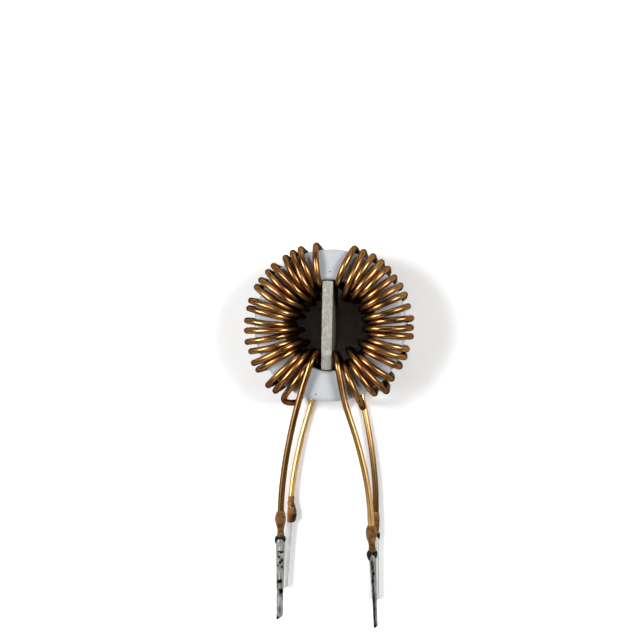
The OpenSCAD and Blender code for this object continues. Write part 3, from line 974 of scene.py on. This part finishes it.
class INDUCTOR_OT_coat_core(bpy.types.Operator):
    """Makes the white coat of the ring and finishes the ferrite under it"""

    bl_idname = "inductor.coat_core"
    bl_label = "Coat Core"

    def execute(self, context):
        s, lv = sizes(), Levels()
        edge, around, section = s.core_edge_r, 192, []
        high, low = lv.core_z1 - edge, lv.core_z0 + edge
        out, inside = lv.core_r - edge, lv.bore_r + edge
        for quarter, (r, z) in enumerate(((out, high), (inside, high), (inside, low), (out, low))):
            for i in range(CORNER_STEPS + 1):
                a = math.radians(90 * (quarter + i / CORNER_STEPS))
                section.append((r + edge * math.cos(a), z + edge * math.sin(a)))
        rings = []
        for i in range(around):
            a = -2 * math.pi * i / around
            ring = [Vector((r * math.cos(a), r * math.sin(a), z)) for r, z in section]
            rings.append([(p + lv.place) * MM for p in ring])
        mesh = loft("coat", rings, loop=True)
        smooth(mesh)
        add_piece("coat", mesh, coating_material(), ["core_coating"])
        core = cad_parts["ferrite_core"]
        core.data.materials.clear()
        core.data.materials.append(ferrite_material())
        return {"FINISHED"}


class INDUCTOR_OT_cut_divider(bpy.types.Operator):
    """Cuts the insulating plate, with worn edges and ends that follow the bore"""

    bl_idname = "inductor.cut_divider"
    bl_label = "Cut Divider"

    def execute(self, context):
        s, lv = sizes(), Levels()
        lean = Matrix.Rotation(math.radians(-s.divider_lean), 3, "Z")
        half, wear, chipped, room = s.divider_t / 2, 0.09, 0.03, 0.05
        bore, along, across = lv.bore_r - s.divider_gap - room, 60, 10
        low, high = lv.core_z0 - s.divider_proud, lv.core_z1 + s.divider_proud

        def outline(inset):
            """Points round the plate, set in from its faces and its ends."""
            points = []
            corner = math.sqrt(bore ** 2 - (half + abs(s.divider_shift)) ** 2) - inset
            for end in (1, -1):
                for i in range(across):
                    x = end * (half - inset) * (1 - 2 * i / across)
                    bulge = math.sqrt(bore ** 2 - (abs(x) + abs(s.divider_shift)) ** 2) - inset
                    points.append((x, end * (bulge if i else corner - wear / 2)))
                for i in range(along):
                    y = end * corner * (1 - 2 * i / along)
                    points.append((-end * (half - inset), y))
            return points

        rings = []
        levels = [(low, wear), (low + wear, 0)]
        levels += [(high - wear, 0), (high - wear * 0.3, wear * 0.3), (high, wear)]
        for z, inset in levels:
            ring = []
            for x, y in outline(inset):
                chip = chipped * noise.noise(Vector((x * 3, y * 2.3, z)))
                p = lean @ Vector((x - math.copysign(abs(chip), x), y, 0))
                ring.append((p + Vector((s.divider_shift, 0, z)) + lv.place) * MM)
            rings.append(ring)
        mesh = loft("plate", rings)
        # Marks the plate's faces, which its material paints darker as painted shade
        marked(mesh, [{"face": k < 3} for k in range(len(levels)) for _ in rings[0]])
        add_piece("plate", mesh, laminate_material(), ["divider_plate"])
        return {"FINISHED"}


class INDUCTOR_OT_burn_varnish(bpy.types.Operator):
    """Makes the swollen varnish beads on the four leads"""

    bl_idname = "inductor.burn_varnish"
    bl_label = "Burn Varnish"

    def execute(self, context):
        dress_ends("bead_", bead_spot, 48, 36, varnish_material(), "varnish_bead_")
        return {"FINISHED"}


class INDUCTOR_OT_char_collars(bpy.types.Operator):
    """Makes the ragged soot collars, which reach down both sides of the tinned ends like claws"""

    bl_idname = "inductor.char_collars"
    bl_label = "Char Collars"

    def execute(self, context):
        dress_ends("soot_", collar_spot, 22, 48, soot_material(), "charred_collar_")
        return {"FINISHED"}


class INDUCTOR_OT_tin_ends(bpy.types.Operator):
    """Makes the solder-dipped ends of the four leads, burnt in spots and cut at a slant"""

    bl_idname = "inductor.tin_ends"
    bl_label = "Tin Ends"

    def execute(self, context):
        dress_ends("tin_", tin_spot, 110, 30, solder_material(), "tinned_end_")
        return {"FINISHED"}


class INDUCTOR_OT_set_stage(bpy.types.Operator):
    """Sets the floor, the lights and the camera"""

    bl_idname = "inductor.set_stage"
    bl_label = "Set Stage"

    def execute(self, context):
        scene, studio, lv = context.scene, context.scene.inductor_studio, Levels()
        mesh = bpy.data.meshes.new("floor")
        mesh.from_pydata([(-2, -2, 0), (2, -2, 0), (2, 2, 0), (-2, 2, 0)], [], [(0, 1, 2, 3)])
        floor = bpy.data.objects.new("floor", mesh)
        scene.collection.objects.link(floor)
        skin = Skin("floor")
        skin.wear(Base_Color=studio.floor, Roughness=0.9)
        mesh.materials.append(skin.material)

        centre = lv.place + Vector((0, 0, lv.core_z1))
        for name, place, size, share in LIGHTS:
            lamp = bpy.data.lights.new(name, "AREA")
            lamp.shape, lamp.size, lamp.energy = "DISK", size * MM, share * studio.light_power
            light = bpy.data.objects.new(name, lamp)
            light.location = (centre + Vector(place)) * MM
            light.rotation_euler = (-Vector(place)).to_track_quat("-Z", "Y").to_euler()
            scene.collection.objects.link(light)

        world = bpy.data.worlds.new("studio")
        scene.world = world
        world.use_nodes = True
        nodes, links = world.node_tree.nodes, world.node_tree.links
        sky = nodes["Background"]
        coords, split = nodes.new("ShaderNodeTexCoord"), nodes.new("ShaderNodeSeparateXYZ")
        ramp = nodes.new("ShaderNodeValToRGB")
        ramp.color_ramp.elements[0].color = (*studio.horizon, 1)
        ramp.color_ramp.elements[1].color = (*studio.zenith, 1)
        ramp.color_ramp.elements[1].position = 0.8
        links.new(coords.outputs["Generated"], split.inputs["Vector"])
        links.new(split.outputs["Z"], ramp.inputs["Fac"])
        links.new(ramp.outputs["Color"], sky.inputs["Color"])
        sky.inputs["Strength"].default_value = studio.sky
        scene.view_settings.view_transform = "Standard"

        lens = bpy.data.cameras.new("camera")
        camera = bpy.data.objects.new("camera", lens)
        scene.collection.objects.link(camera)
        eye = centre + Vector((studio.view_offset, 0, studio.view_distance))
        across, down = (at - PICTURE / 2 for at in RING_AT)
        target = centre + Vector((-across, down, 0)) * studio.pixel
        back = (eye - target).normalized()
        right = Vector((0, 1, 0)).cross(back).normalized()
        camera.location = eye * MM
        camera.rotation_euler = Matrix((right, back.cross(right), back)).transposed().to_euler()
        lens.sensor_width = 36
        lens.lens = lens.sensor_width * (target - eye).length / studio.pixel / PICTURE
        lens.clip_start, lens.clip_end = 0.005, 10
        scene.camera = camera
        return {"FINISHED"}


class INDUCTOR_PT_panel(bpy.types.Panel):
    """Sizes, colours and steps of the inductor"""

    bl_idname = "INDUCTOR_PT_panel"
    bl_label = "Inductor"
    bl_space_type = "VIEW_3D"
    bl_region_type = "UI"
    bl_category = "Inductor"

    def draw(self, context):
        for name in GROUPS:
            group = getattr(context.scene, name)
            for key in group.__annotations__:
                self.layout.prop(group, key)
        for step in STEPS:
            self.layout.operator(step.bl_idname)


STEPS = (
    INDUCTOR_OT_wind_coils,
    INDUCTOR_OT_coat_core,
    INDUCTOR_OT_cut_divider,
    INDUCTOR_OT_burn_varnish,
    INDUCTOR_OT_char_collars,
    INDUCTOR_OT_tin_ends,
    INDUCTOR_OT_set_stage,
)
GROUPS = {
    "inductor_sizes": InductorSizes,
    "inductor_finish": InductorFinish,
    "inductor_studio": InductorStudio,
}


def register():
    for name, group in GROUPS.items():
        bpy.utils.register_class(group)
        setattr(bpy.types.Scene, name, bpy.props.PointerProperty(type=group))
    for step in STEPS:
        bpy.utils.register_class(step)
    bpy.utils.register_class(INDUCTOR_PT_panel)


def unregister():
    bpy.utils.unregister_class(INDUCTOR_PT_panel)
    for step in reversed(STEPS):
        bpy.utils.unregister_class(step)
    for name, group in GROUPS.items():
        delattr(bpy.types.Scene, name)
        bpy.utils.unregister_class(group)


def main():
    register()
    bpy.ops.inductor.wind_coils()
    bpy.ops.inductor.coat_core()
    bpy.ops.inductor.cut_divider()
    bpy.ops.inductor.burn_varnish()
    bpy.ops.inductor.char_collars()
    bpy.ops.inductor.tin_ends()
    bpy.ops.inductor.set_stage()


if __name__ == "__main__":
    main()
